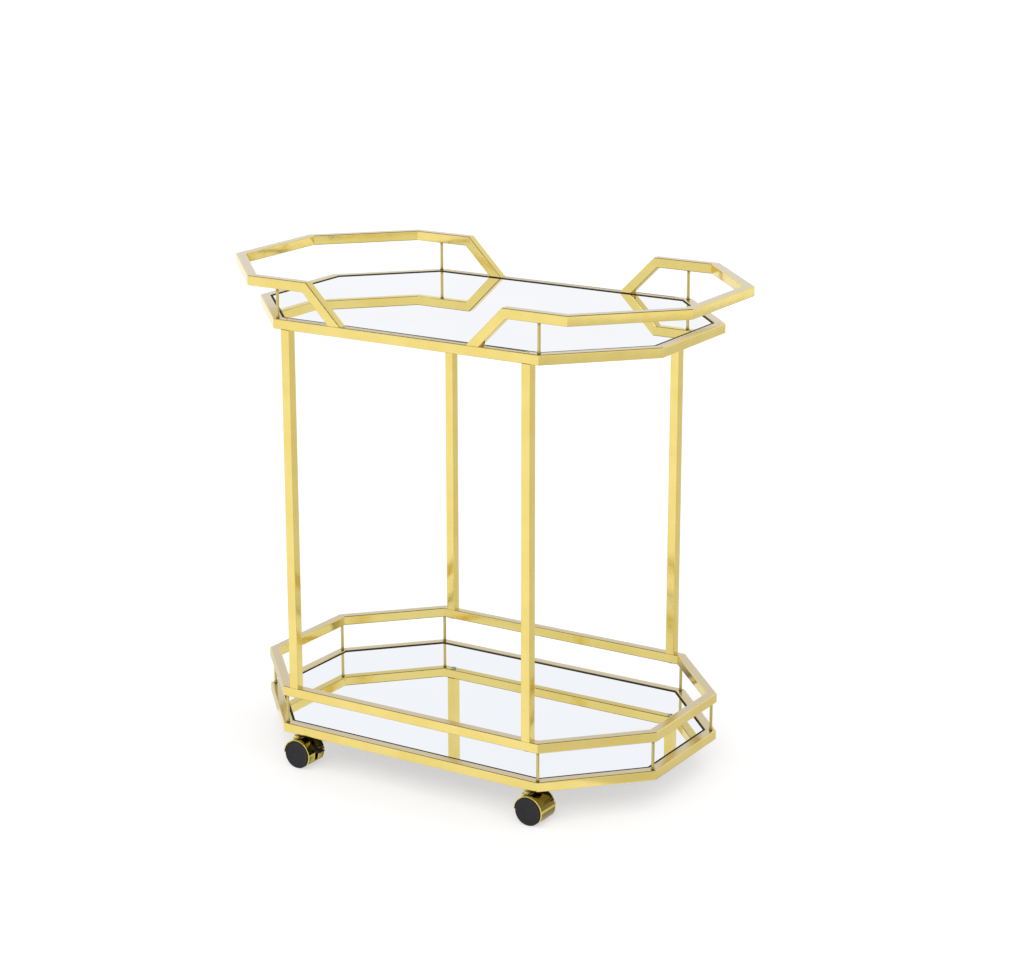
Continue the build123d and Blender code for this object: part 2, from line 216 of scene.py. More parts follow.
overhead_data = bpy.data.lights.new("overhead diffuser", "SUN")
overhead_data.angle = OVERHEAD_SPREAD
overhead_data.energy = OVERHEAD_LIGHT
overhead = bpy.data.objects.new("overhead diffuser", overhead_data)
overhead.rotation_euler = OVERHEAD_TILT
overhead.visible_glossy = False
bpy.context.scene.collection.objects.link(overhead)

SIDE_BOX_PLACE = Vector((1.4, -3.0, 2.6))
SIDE_BOX_AIM = Vector((0, 0, 0.3))
SIDE_BOX_SIZE = 1.2
SIDE_BOX_LIGHT = 14

side_data = bpy.data.lights.new("side soft box", "AREA")
side_data.size = SIDE_BOX_SIZE
side_data.energy = SIDE_BOX_LIGHT
side_box = bpy.data.objects.new("side soft box", side_data)
side_box.location = SIDE_BOX_PLACE
side_box.rotation_euler = (SIDE_BOX_AIM - SIDE_BOX_PLACE).to_track_quat("-Z", "Y").to_euler()
bpy.context.scene.collection.objects.link(side_box)

# A grey sheet lies on the floor under the cart, behind it and off its right end. It glows with its own
# colour and is darkest close under the cart, as a painted shadow of the floor there.
# Only the polished metal sees it, which gives the tube's right-hand faces and the hoods their darker
# side as painted reflection.
FLAG_LEFT, FLAG_RIGHT = -2.7, 3.7
FLAG_BACK, FLAG_FRONT = 3.3, -2.8
FLAG_CORNER = (0.43, -0.08)
FLAG_LEVEL = 0.5 * MM
FLAG_DARK = (0.30, 0.46)
FLAG_PAINTED_SHADOW = (0.13, 0.12, 0.11, 1)
FLAG_FAR = (0.77, 0.765, 0.76, 1)

flag_material, made = new_material("grey flag")
place = made.place()
reach = made.node("ShaderNodeVectorMath", {"operation": "LENGTH"}, {0: place}, "Value")
# Painted shadow: darkest near the cart's middle, paling out over the FLAG_DARK distances.
shade = reach.between(*FLAG_DARK).tint(FLAG_PAINTED_SHADOW, FLAG_FAR)
glow = made.node("ShaderNodeEmission", None, {"Color": shade})
made.node("ShaderNodeOutputMaterial", None, {"Surface": glow})
flag_mesh = bpy.data.meshes.new("flag")
flag_mesh.from_pydata(
    [
        (FLAG_LEFT, FLAG_CORNER[1], FLAG_LEVEL),
        (*FLAG_CORNER, FLAG_LEVEL),
        (FLAG_RIGHT, FLAG_CORNER[1], FLAG_LEVEL),
        (FLAG_RIGHT, FLAG_BACK, FLAG_LEVEL),
        (FLAG_LEFT, FLAG_BACK, FLAG_LEVEL),
        (FLAG_CORNER[0], FLAG_FRONT, FLAG_LEVEL),
        (FLAG_RIGHT, FLAG_FRONT, FLAG_LEVEL),
    ],
    [],
    [(0, 1, 2, 3, 4), (5, 6, 2, 1)],
)
flag_mesh.materials.append(flag_material)
flag = bpy.data.objects.new("flag", flag_mesh)
flag.visible_camera = False
flag.visible_diffuse = False
flag.visible_shadow = False
bpy.context.scene.collection.objects.link(flag)

CAMERA_PLACE = (2.0722, -3.2650, 1.5488)
CAMERA_YAW = radians(31.81)
CAMERA_DROP = radians(15.79)
CAMERA_LENS = 87.85
camera_data = bpy.data.cameras.new("camera")
camera_data.lens = CAMERA_LENS
camera_data.sensor_width = 36.0
camera = bpy.data.objects.new("camera", camera_data)
camera.location = CAMERA_PLACE
camera.rotation_euler = (pi / 2 - CAMERA_DROP, 0, CAMERA_YAW)
bpy.context.scene.collection.objects.link(camera)
bpy.context.scene.camera = camera


# ------------------------------------------------------------------ tray and gallery rings
# Square steel tube, mitred into long octagons, welded, ground flush at the corners,
# then polished and plated in pale gold.

UP = Vector((0, 0, 1))
tube_low, tube_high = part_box("lower_tray_end_rails")
TUBE = tube_high.z - tube_low.z
TUBE_CORNER = 1.7 * MM
CORNER_STEPS = 4
JOINT_ROUND = 1.0 * MM
JOINT_STEPS = (0.0, 0.2, 0.5, 0.8, 1.0)
SAME_POINT = 1e-7
SHARP_CORNER = radians(38)


def rounded_square(width, corner, steps):
    """Section of the tube: a square with rounded corners, anticlockwise."""
    points = []
    reach = width / 2 - corner
    for quarter, (a, b) in enumerate(((1, 1), (-1, 1), (-1, -1), (1, -1))):
        for step in range(steps + 1):
            turn = (quarter + step / steps) * pi / 2
            points.append((a * reach + corner * cos(turn), b * reach + corner * sin(turn)))
    return points


def mesh_piece(name, points, faces, material, runs=None):
    """A mesh object from points and faces, with the lengthwise UVs of its points if given."""
    mesh = bpy.data.meshes.new(name)
    mesh.from_pydata([tuple(p) for p in points], [], faces)
    if runs:
        layer = mesh.uv_layers.new(name="run")
        for loop in mesh.loops:
            layer.data[loop.index].uv = runs[loop.vertex_index]
    mesh.materials.append(material)
    piece = bpy.data.objects.new(name, mesh)
    bpy.context.scene.collection.objects.link(piece)
    return piece


def strips(rows, around):
    """Faces between rings of points, all with as many points around."""
    faces = []
    for row in range(rows - 1):
        here, there = row * around, (row + 1) * around
        for k in range(around):
            after = (k + 1) % around
            faces.append((here + k, here + after, there + after, there + k))
    return faces


def smooth(piece, sharp_angle=SHARP_CORNER):
    """Shade smooth, keep real corners sharp and let the flat faces decide the normals."""
    shape = bmesh.new()
    shape.from_mesh(piece.data)
    for face in shape.faces:
        face.smooth = True
    for edge in shape.edges:
        edge.smooth = len(edge.link_faces) == 2 and edge.calc_face_angle(0) < sharp_angle
    shape.to_mesh(piece.data)
    shape.free()
    weigh = piece.modifiers.new("even normals", "WEIGHTED_NORMAL")
    weigh.keep_sharp = True
    return settle(piece)


def settle(piece):
    """Turn a piece's modifiers into a plain mesh."""
    seen = piece.evaluated_get(bpy.context.evaluated_depsgraph_get())
    mesh = bpy.data.meshes.new_from_object(seen)
    piece.modifiers.clear()
    old = piece.data
    piece.data = mesh
    mesh.name = piece.name
    bpy.data.meshes.remove(old)
    return piece


def bend(before, corner, after, share):
    """A point on the small curve that rounds a joint, from before (0) to after (1)."""
    return before * (1 - share) ** 2 + corner * (2 * share * (1 - share)) + after * share**2


def sweep(name, path, section, material, closed=False, up=UP, end_planes=(None, None)):
    """A bar of one section along straight lengths, mitred and just rounded where they meet."""
    lengths = list(zip(path, path[1:] + path[:1])) if closed else list(zip(path, path[1:]))
    headings = [(end - start).normalized() for start, end in lengths]
    rings = []
    travel = 0.0
    for place, point in enumerate(path):
        last = headings[place - 1] if closed or place > 0 else None
        coming = headings[place] if closed or place < len(path) - 1 else None
        if place > 0:
            travel += (point - path[place - 1]).length
        run = coming or last
        side = run.cross(up).normalized()
        raised = side.cross(run)
        if last and coming:
            plane = (last + coming).normalized()
        else:
            plane = Vector(end_planes[0 if coming else 1] or run)
        corners = []
        for a, b in section:
            start = point + side * a + raised * b
            corners.append(start - run * ((start - point).dot(plane) / run.dot(plane)))
        if last and coming:
            for share in JOINT_STEPS:
                back, on = last * JOINT_ROUND, coming * JOINT_ROUND
                rings.append(([bend(c - back, c, c + on, share) for c in corners], travel))
        else:
            rings.append((corners, travel))
    if closed:
        rings.append((rings[0][0], travel + (path[0] - path[-1]).length))
    around = len(section)
    girth = [0.0]
    for first, second in zip(section, section[1:]):
        girth.append(girth[-1] + sqrt((first[0] - second[0]) ** 2 + (first[1] - second[1]) ** 2))
    points = [p for ring, _ in rings for p in ring]
    runs = [(along, girth[k]) for _, along in rings for k in range(around)]
    faces = strips(len(rings), around)
    if not closed:
        faces.append(tuple(range(around - 1, -1, -1)))
        faces.append(tuple(range(len(points) - around, len(points))))
    piece = mesh_piece(name, points, faces, material, runs)
    shape = bmesh.new()
    shape.from_mesh(piece.data)
    bmesh.ops.remove_doubles(shape, verts=shape.verts, dist=SAME_POINT)
    bmesh.ops.recalc_face_normals(shape, faces=shape.faces)
    shape.to_mesh(piece.data)
    shape.free()
    upward = piece.data.attributes.new("upward", "FLOAT", "FACE")
    for face, item in zip(piece.data.polygons, upward.data):
        item.value = 1.0 if face.normal.z > 0.99 else 0.0
    return smooth(piece)


def octagon(half_length, half_width, side_half, end_half, level):
    """Corners of a long octagon at one level, anticlockwise from the front side's left end."""
    return [
        Vector((-side_half, -half_width, level)),
        Vector((side_half, -half_width, level)),
        Vector((half_length, -end_half, level)),
        Vector((half_length, end_half, level)),
        Vector((side_half, half_width, level)),
        Vector((-side_half, half_width, level)),
        Vector((-half_length, end_half, level)),
        Vector((-half_length, -end_half, level)),
    ]


def inset(corners, depth):
    """The same outline with every side moved inwards by depth."""
    moved = []
    for before, here, after in zip(corners[-1:] + corners[:-1], corners, corners[1:] + corners[:1]):
        first = UP.cross(here - before).normalized()
        second = UP.cross(after - here).normalized()
        moved.append(here + (first + second) * (depth / (1 + first.dot(second))))
    return moved


# Pale gold plating, polished but not mirror-flat: long polishing lines, a faint ripple from the
# steel under it, cloudy handling marks, and a slightly deeper tone in the thicker plating. Dust
# dulls the faces that look up, and their colour is painted a paler beige as a painted reflection.
# Pieces marked shaded are painted darker as painted shade: the rods and the hoods' sunk plates.
# Heat from brazing darkens the ends of the rods as well.
TOP_FACE_PAINTED_SHEEN = (0.63, 0.535, 0.335, 1)
# SHADE is painted shade: the colour that pieces marked shaded are darkened towards.
SHADE = (0.20, 0.155, 0.035, 1)


def gold_material(name, pale, deep, polish, ripple):
    """Gold plating in two tones, with its polish as roughness and its ripple as bump."""
    material, made = new_material(name)
    upward = made.mark("upward")
    shaded = made.mark("shaded")
    place = made.place()
    run = made.node("ShaderNodeUVMap", {"uv_map": "run"})
    clouds = place.noise(14.0, 3.0, Roughness=0.6)
    lines = run.stretch((9.0, 5200.0, 1.0)).noise(1.0, 2.0)
    wipes = place.noise(60.0, 4.0, Distortion=0.8)
    specks = place.noise(900.0, 1.0)
    peel = place.noise(260.0, 1.0)
    wave = place.noise(34.0, 1.0)
    relief = wave + peel * 0.12 + lines * 0.02
    # Faces that look up get a painted beige sheen in place of their reflection.
    plating_with_painted_sheen = upward.tint(clouds.between(0.35, 0.7).tint(pale, deep), TOP_FACE_PAINTED_SHEEN)
    scratched = lines.between(0.3, 0.8) * 0.05 + wipes.between(0.45, 0.75) * 0.05
    close_material(
        made,
        # Painted shade: where a piece marks itself shaded, the gold is darkened towards SHADE.
        Base_Color=shaded.tint(plating_with_painted_sheen, SHADE),
        Metallic=1.0,
        Roughness=upward * 0.04 + polish + scratched + specks.between(0.68, 0.8) * 0.1,
        Normal=relief.bump(ripple, 0.6 * MM),
    )
    return material


PALE_GOLD, DEEP_GOLD = (0.855, 0.695, 0.235, 1), (0.815, 0.645, 0.195, 1)
gold_plate = gold_material("polished gold plate", PALE_GOLD, DEEP_GOLD, polish=0.085, ripple=0.22)

side_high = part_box("lower_tray_side_rails")[1]
HALF_WIDTH = side_high.y
SIDE_HALF = side_high.x
HALF_LENGTH = tube_high.x
END_HALF = tube_high.y


def tray_outline(level, depth):
    """The trays' octagon at one level, moved inwards by depth."""
    return inset(octagon(HALF_LENGTH, HALF_WIDTH, SIDE_HALF, END_HALF, level), depth)


TUBE_SECTION = rounded_square(TUBE, TUBE_CORNER, CORNER_STEPS)

RING_PIECES = {"lower_tray": "lower_frame", "gallery": "gallery_rail", "upper_tray": "upper_frame"}
for ring, name in RING_PIECES.items():
    level = (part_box(f"{ring}_end_rails")[0].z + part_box(f"{ring}_end_rails")[1].z) / 2
    piece = sweep(name, tray_outline(level, TUBE / 2), TUBE_SECTION, gold_plate, closed=True)
    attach(piece, "root")
    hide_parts(f"{ring}_side_rails", f"{ring}_end_rails", f"{ring}_corner_rails")


# ------------------------------------------------------------------ handle rails
# The same tube at each end, cut in seven lengths: a sloping foot, side, corner, end, corner,
# side and foot, welded into one rail that stands on the upper tray's side rails.

tray_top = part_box("upper_tray_end_rails")[1].z
for end, hand in (("right", 1), ("left", -1)):
    bar_low, bar_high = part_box(f"{end}_handle_end_bar")
    foot_low, foot_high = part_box(f"{end}_handle_sloping_feet")
    outer_x = max(abs(bar_low.x), abs(bar_high.x))
    foot_x = min(abs(foot_low.x), abs(foot_high.x))
    rise = bar_high.z - tray_top
    level = (bar_low.z + bar_high.z) / 2
    overhang = outer_x - HALF_LENGTH
    outline = inset(octagon(outer_x, HALF_WIDTH, SIDE_HALF + overhang, END_HALF, level), TUBE / 2)
    line_y = HALF_WIDTH - TUBE / 2
    top_x = foot_x + rise + TUBE / 2 * tan(radians(22.5))
    base_x = foot_x + TUBE / 2 * sqrt(2)
    bends = outline[1:5] if hand > 0 else outline[5:] + outline[:1]
    first_y = -line_y * hand
    path = [Vector((hand * base_x, first_y, tray_top)), Vector((hand * top_x, first_y, level))]
    path += bends
    path += [Vector((hand * top_x, -first_y, level)), Vector((hand * base_x, -first_y, tray_top))]
    piece = sweep(f"{end}_handle_rail", path, TUBE_SECTION, gold_plate, end_planes=(UP, -UP))
    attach(piece, "root")
    bars = ("end_bar", "corner_bars", "side_bars", "sloping_feet")
    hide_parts(*[f"{end}_handle_{bar}" for bar in bars])


# ------------------------------------------------------------------ legs
# Four lengths of the same tube, cut square, standing on the gallery rail and screwed
# up under the upper tray.

CORNERS = ("front_left", "front_right", "back_left", "back_right")
for corner in CORNERS:
    low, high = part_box(f"{corner}_leg")
    middle = (low + high) / 2
    path = [Vector((middle.x, middle.y, low.z)), Vector((middle.x, middle.y, high.z))]
    piece = sweep(f"{corner}_leg_tube", path, TUBE_SECTION, gold_plate, up=Vector((0, 1, 0)))
    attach(piece, "root")
    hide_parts(f"{corner}_leg")
leg_centres = [(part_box(f"{corner}_leg")[0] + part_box(f"{corner}_leg")[1]) / 2 for corner in CORNERS]


# ------------------------------------------------------------------ spindles
# Thin round rods between the lower tray and the gallery and between the upper tray and the
# handle rails, each one stood on the tube and brazed, with a small fillet at both ends.


class Tree(Link):
    """Nodes that repeat or shape a piece, with named inputs for its sizes, run once."""

    def __init__(self, name, inputs):
        group = bpy.data.node_groups.new(name, "GeometryNodeTree")
        super().__init__(group)
        group.interface.new_socket("Geometry", in_out="INPUT", socket_type="NodeSocketGeometry")
        group.interface.new_socket("Geometry", in_out="OUTPUT", socket_type="NodeSocketGeometry")
        self.named = {}
        for label, (kind, value) in inputs.items():
            socket = group.interface.new_socket(label, in_out="INPUT", socket_type=kind)
            self.named[label] = (socket.identifier, value)
        self.given = self.node("NodeGroupInput")

    def value(self, label):
        return self.given.other(label)

    def run(self, name, points, result, material, turns=None):
        """Make a piece from the tree, set on these points, and keep it as a plain mesh."""
        shown = self.node("GeometryNodeRealizeInstances", None, {"Geometry": result})
        rounded = self.node("GeometryNodeSetShadeSmooth", None, {"Geometry": shown})
        painted = self.node(
            "GeometryNodeSetMaterial", None, {"Geometry": rounded, "Material": material}
        )
        self.node("NodeGroupOutput", None, {"Geometry": painted})
        piece = mesh_piece(name, points, [], material)
        if turns:
            given = piece.data.attributes.new("turn", "FLOAT", "POINT")
            for item, turn in zip(given.data, turns):
                item.value = turn
        modifier = piece.modifiers.new(name, "NODES")
        modifier.node_group = self.tree
        for identifier, value in self.named.values():
            modifier[identifier] = value
        return settle(piece)


SPINDLE_FOOT = 1.6
SPINDLE_FILLET = 2.2 * MM
SPINDLE_RINGS = 97
# The whole rod is painted darker by this much, as painted shade. The ends get more for the braze tint.
ROD_PAINTED_SHADE = 0.36
BRAZED_TONE = 0.4
BRAZED_REACH = (6.5 * MM, 1.5 * MM)

for name, node in (("gallery_rods", "gallery_spindles"), ("handle_rods", "handle_spindles")):
    low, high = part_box(node)
    rod_radius = high.y - line_y
    tree = Tree(
        f"{name} tree",
        {
            "Height": ("NodeSocketFloat", high.z - low.z),
            "Radius": ("NodeSocketFloat", rod_radius),
            "Fillet": ("NodeSocketFloat", SPINDLE_FILLET),
            "Foot Ratio": ("NodeSocketFloat", SPINDLE_FOOT),
        },
    )
    top = tree.node("ShaderNodeCombineXYZ", None, {"Z": tree.value("Height")})
    line = tree.node("GeometryNodeCurvePrimitiveLine", None, {"End": top})
    fine = tree.node("GeometryNodeResampleCurve", None, {"Curve": line, "Count": SPINDLE_RINGS})
    share = tree.node("GeometryNodeSplineParameter", output="Factor")
    to_end = share.math("MINIMUM", share, 1 - share) * tree.value("Height")
    flare = share.math("MAXIMUM", 1 - to_end / tree.value("Fillet"), 0.0)
    swell = 1 + (tree.value("Foot Ratio") - 1) * flare * flare
    circle = tree.node("GeometryNodeCurvePrimitiveCircle", None, {"Resolution": 20, "Radius": 1.0})
    # Painted shade along the whole rod, plus the braze tint near its ends, stored as shaded.
    tone = ROD_PAINTED_SHADE + to_end.between(*BRAZED_REACH) * BRAZED_TONE
    painted_shade_and_braze_tint = tree.node(
        "GeometryNodeStoreNamedAttribute",
        {"data_type": "FLOAT", "domain": "POINT"},
        {"Geometry": fine, "Name": "shaded", "Value": tone},
    )
    thickness = swell * tree.value("Radius")
    rod = tree.node(
        "GeometryNodeCurveToMesh",
        None,
        {"Curve": painted_shade_and_braze_tint, "Profile Curve": circle, "Scale": thickness, "Fill Caps": True},
    )
    stood = tree.node("GeometryNodeInstanceOnPoints", None, {"Points": tree.given, "Instance": rod})
    outline = tray_outline(low.z, TUBE / 2)
    centres = outline if node == "gallery_spindles" else [outline[k] for k in (0, 1, 4, 5)]
    piece = tree.run(name, centres, stood, gold_plate)
    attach(piece, "root")
    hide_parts(node)


def revolve(name, profile, place, axis, material, segments=72):
    """A turned part: its profile, as (radius, height) pairs, spun about an axis through a place."""
    axis = Vector(axis).normalized()
    side = axis.orthogonal().normalized()
    across = axis.cross(side)
    points = []
    sizes = []
    for radius, along in profile:
        for step in range(segments):
            turn = 2 * pi * step / segments
            outwards = side * cos(turn) + across * sin(turn)
            points.append(Vector(place) + axis * along + outwards * radius)
            sizes.append((radius, along, turn))
    piece = mesh_piece(name, points, strips(len(profile), segments), material)
    turned = piece.data.attributes.new("turned", "FLOAT_VECTOR", "POINT")
    for item, size in zip(turned.data, sizes):
        item.vector = size
    weld(piece)
    return smooth(piece)


def weld(piece):
    """Join doubled points, fill open ends and turn every face outwards."""
    shape = bmesh.new()
    shape.from_mesh(piece.data)
    bmesh.ops.remove_doubles(shape, verts=shape.verts, dist=SAME_POINT)
    open_edges = [edge for edge in shape.edges if edge.is_boundary]
    bmesh.ops.holes_fill(shape, edges=open_edges)
    bmesh.ops.recalc_face_normals(shape, faces=shape.faces)
    shape.to_mesh(piece.data)
    shape.free()


def eased(corners):
    """A profile in millimetres, as (a, b, round) corners, with each corner rounded by that much."""
    points = []
    for before, (a, b, ease), after in zip([None] + corners[:-1], corners, corners[1:] + [None]):
        here = Vector((a, b))
        if not ease or before is None or after is None:
            points.append(here * MM)
            continue
        start = here + (Vector(before[:2]) - here).normalized() * ease
        end = here + (Vector(after[:2]) - here).normalized() * ease
        points += [bend(start, here, end, share) * MM for share in (0.0, 0.3, 0.7, 1.0)]
    return points


def prism(name, outline, low, high, edge, material, turned=Matrix.Identity(4)):
    """A plate of an anticlockwise outline between two heights, its edges eased, then turned."""
    rings = [
        (inset(outline, edge), low),
        (inset(outline, edge * 0.3), low + edge * 0.3),
        (outline, low + edge),
        (outline, high - edge),
        (inset(outline, edge * 0.3), high - edge * 0.3),
        (inset(outline, edge), high),
    ]
    around = len(outline)
    points = [turned @ Vector((p.x, p.y, level)) for ring, level in rings for p in ring]
    faces = [tuple(range(around - 1, -1, -1)), tuple(range(5 * around, 6 * around))]
    return mesh_piece(name, points, faces + strips(6, around), material)


def combine(name, pieces):
    """Join several meshes into one piece of the first one's material."""
    shape = bmesh.new()
    for part in pieces:
        shape.from_mesh(part.data)
    mesh = bpy.data.meshes.new(name)
    shape.to_mesh(mesh)
    shape.free()
    for material in pieces[0].data.materials:
        mesh.materials.append(material)
    for part in pieces:
        bpy.data.objects.remove(part)
    piece = bpy.data.objects.new(name, mesh)
    bpy.context.scene.collection.objects.link(piece)
    return piece


def cut(piece, cutters):
    """Cut these shapes out of a piece."""
    for cutter in cutters:
        taken = piece.modifiers.new("cut", "BOOLEAN")
        taken.operation = "DIFFERENCE"
        taken.solver = "EXACT"
        taken.object = cutter
    settle(piece)
    for cutter in cutters:
        bpy.data.objects.remove(cutter)
    return piece


def repeat(name, part, places, turns, material):
    """Copies of one part on these places, each turned about the upright, as a single piece."""
    tree = Tree(f"{name} tree", {"Part": ("NodeSocketObject", part)})
    shape = tree.node("GeometryNodeObjectInfo", None, {"Object": tree.value("Part")}, "Geometry")
    turn = tree.node("GeometryNodeInputNamedAttribute", {"data_type": "FLOAT"}, {"Name": "turn"})
    upright = tree.node("ShaderNodeCombineXYZ", None, {"Z": turn})
    copies = tree.node(
        "GeometryNodeInstanceOnPoints",
        None,
        {"Points": tree.given, "Instance": shape, "Rotation": upright},
    )
    piece = tree.run(name, places, copies, material, turns)
    bpy.data.objects.remove(part)
    return smooth(piece)


# ------------------------------------------------------------------ leg screws
# Each leg is held by a low cap screw up through the gallery rail and by a countersunk screw down
# through the upper tray's rail, its head flush with the tube. Each head has a round key recess.


def zinc_material(name, pale, deep):
    """Zinc plating on turned steel: cool grey, with fine turning rings and dull patches."""
    material, made = new_material(name)
    place = made.place()
    rings = made.mark("turned", "Vector").stretch((5000.0, 5000.0, 0.4)).noise(1.0, 2.0)
    bloom = place.noise(120.0, 3.0)
    close_material(
        made,
        Base_Color=bloom.between(0.3, 0.7).tint(pale, deep),
        Metallic=1.0,
        Roughness=0.24 + rings * 0.12 + bloom.between(0.4, 0.8) * 0.15,
        Normal=rings.bump(0.15, 0.2 * MM),
    )
    return material


zinc_steel = zinc_material("zinc plated steel", (0.60, 0.61, 0.63, 1), (0.46, 0.46, 0.46, 1))

SCREW_SHANK = 3.0
KEY_RADIUS = 2.3
KEY_DEPTH = 1.3
head_low, head_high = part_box("lower_leg_screws")
gallery_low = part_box("gallery_end_rails")[0].z
head_radius = (head_high.y - leg_centres[2].y) / MM
head_height = (gallery_low - head_low.z) / MM
shank_top = (head_high.z - head_low.z) / MM
cap = eased(
    [
        (0, KEY_DEPTH, 0),
        (KEY_RADIUS, KEY_DEPTH, 0),
        (KEY_RADIUS, 0, 0.25),
        (head_radius, 0, 0.5),
        (head_radius, head_height, 0.2),
        (SCREW_SHANK, head_height, 0),
        (SCREW_SHANK, shank_top, 0.4),
        (0, shank_top, 0),
    ]
)
cap_screw = revolve("cap screw", cap, (0, 0, 0), UP, zinc_steel, 48)
places = [Vector((c.x, c.y, head_low.z)) for c in leg_centres]
piece = repeat("lower_cap_screws", cap_screw, places, (0.3, 1.1, 2.0, 2.7), zinc_steel)
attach(piece, "root")
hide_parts("lower_leg_screws")

sunk_low, sunk_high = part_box("upper_leg_screws")
sunk_radius = (sunk_high.y - leg_centres[2].y) / MM
sunk_depth = sunk_radius - SCREW_SHANK
sunk_reach = (sunk_high.z - sunk_low.z) / MM
sunk = eased(
    [
        (0, -sunk_reach, 0),
        (SCREW_SHANK, -sunk_reach, 0.4),
        (SCREW_SHANK, -sunk_depth, 0),
        (sunk_radius, -0.15, 0.12),
        (sunk_radius - 0.2, -0.02, 0.08),
        (2.1, -0.02, 0.15),
        (2.1, -1.9, 0),
        (0, -2.2, 0),
    ]
)
sunk_screw = revolve("sunk screw", sunk, (0, 0, 0), UP, gold_plate, 48)
places = [Vector((c.x, c.y, sunk_high.z)) for c in leg_centres]
piece = repeat("upper_sunk_screws", sunk_screw, places, (0.5, 1.3, 1.9, 2.4), gold_plate)
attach(piece, "root")
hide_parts("upper_leg_screws")

# The upper frame's rails are countersunk for them
seat = [(0, -4.0), (3.2, -4.0), (3.2, -2.5), (5.75, 0.02), (5.75, 1.0), (0, 1.0)]
seat_profile = [Vector(point) * MM for point in seat]
seats = [
    revolve(f"seat {k}", seat_profile, (c.x, c.y, sunk_high.z), UP, gold_plate, 48)
    for k, c in enumerate(leg_centres)
]
cut(bpy.data.objects["upper_frame"], seats)


# ------------------------------------------------------------------ mirrors
# Float glass, 4 mm thick, silvered underneath, with ground edges; one lies in each tray.

mirror_glass, made = new_material("silvered mirror glass")
place = made.place()
haze = place.noise(7.0, 4.0)
wipes = place.stretch((30.0, 7.0, 1.0), (0, 0, 0.5)).noise(1.0, 3.0, Distortion=0.6)
dust = made.node("ShaderNodeTexVoronoi", None, {"Vector": place, "Scale": 420.0}, "Distance")
motes = 1 - dust.between(0.02, 0.09)
edge_share = made.mark("ground")
SILVER, DULL_SILVER = (0.955, 0.97, 0.975, 1), (0.935, 0.955, 0.965, 1)
GROUND_EDGE = (0.42, 0.52, 0.48, 1)
silver = haze.between(0.3, 0.7).tint(SILVER, DULL_SILVER)
smears = wipes.between(0.5, 0.8) * 0.02 + haze.between(0.5, 0.8) * 0.012
close_material(
    made,
    Base_Color=edge_share.tint(silver, GROUND_EDGE),
    Metallic=1 - edge_share * 0.7,
    Roughness=0.012 + smears + motes * 0.06 + edge_share * 0.4,
)


GLASS_ARRIS = 0.35 * MM


def mark_edges(piece):
    """Mark a pane's sides and eased edges, so that they look ground and not silvered."""
    ground = piece.data.attributes.new("ground", "FLOAT", "FACE")
    for face, item in zip(piece.data.polygons, ground.data):
        item.value = 0.0 if abs(face.normal.z) > 0.999 else 1.0


for tray in ("upper", "lower"):
    low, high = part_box(f"{tray}_mirror")
    pane = tray_outline(0, HALF_WIDTH - high.y)
    piece = prism(f"{tray}_mirror_pane", pane, low.z, high.z, GLASS_ARRIS, mirror_glass)
    mark_edges(piece)
    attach(piece, "root")
    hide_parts(f"{tray}_mirror")


# ------------------------------------------------------------------ mirror seals
# An extruded black rubber strip fills the gap between each pane and its tube. It stands just
# proud of the glass and stops short of the top of the tube.

black_seal, made = new_material("black rubber seal")
place = made.place()
run = made.node("ShaderNodeUVMap", {"uv_map": "run"})
ribs = run.stretch((14.0, 3000.0, 1.0)).noise(1.0, 2.0)
lint = place.noise(90.0, 4.0)
RUBBER, DUSTY_RUBBER = (0.012, 0.012, 0.013, 1), (0.035, 0.034, 0.033, 1)
close_material(
    made,
    Base_Color=lint.between(0.5, 0.8).tint(RUBBER, DUSTY_RUBBER),
    Roughness=0.62 + lint * 0.15,
    Specular_IOR_Level=0.35,
    Normal=(ribs + lint * 0.6).bump(0.35, 0.3 * MM),
)

SEAL_LIP = 0.5 * MM
for tray in ("upper", "lower"):
    low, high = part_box(f"{tray}_mirror_seal")
    pane_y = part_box(f"{tray}_mirror")[1].y
    width = high.y - pane_y
    middle = (high.y + pane_y) / 2
    level = (low.z + high.z) / 2
    line = tray_outline(level, HALF_WIDTH - middle)
    tall = (high.z - low.z) / 2
    across = width / 2
    shoulder = tall - SEAL_LIP
    crown = tall - SEAL_LIP * 0.25
    section = [(across, -tall), (across, shoulder), (across - SEAL_LIP, crown)]
    section += [(0, tall), (SEAL_LIP - across, crown), (-across, shoulder), (-across, -tall)]
    piece = sweep(f"{tray}_rubber_seal", line, section, black_seal, closed=True)
    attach(piece, "root")
    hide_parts(f"{tray}_mirror_seal")


# ------------------------------------------------------------------ backing boards
# A sheet of dark fibreboard under each pane, sealed black, with its saw-cut edge in the tube.

backing_board, made = new_material("black sealed fibreboard")
place = made.place()
fibres = place.stretch((70.0, 240.0, 160.0)).noise(3.0, 5.0, Distortion=1.2)
stains = place.noise(5.0, 3.0)
SEALED_BOARD, BARE_FIBRE = (0.022, 0.020, 0.018, 1), (0.075, 0.062, 0.052, 1)
close_material(
    made,
    Base_Color=(fibres * 0.6 + stains * 0.4).between(0.35, 0.7).tint(SEALED_BOARD, BARE_FIBRE),
    Roughness=0.58 + stains * 0.2,
    Specular_IOR_Level=0.3,
    Normal=fibres.bump(0.5, 0.4 * MM),
)

BOARD_ARRIS = 0.3 * MM
for tray in ("upper", "lower"):
    low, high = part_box(f"{tray}_backing_board")
    sheet = tray_outline(0, HALF_WIDTH - high.y)
    piece = prism(f"{tray}_fibreboard", sheet, low.z, high.z, BOARD_ARRIS, backing_board)
    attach(piece, "root")
    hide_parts(f"{tray}_backing_board")


# ------------------------------------------------------------------ support tabs
# Pressed steel angles welded inside the tray's tube, ten to a tray, which carry the board and
# the pane; plated with the frame.

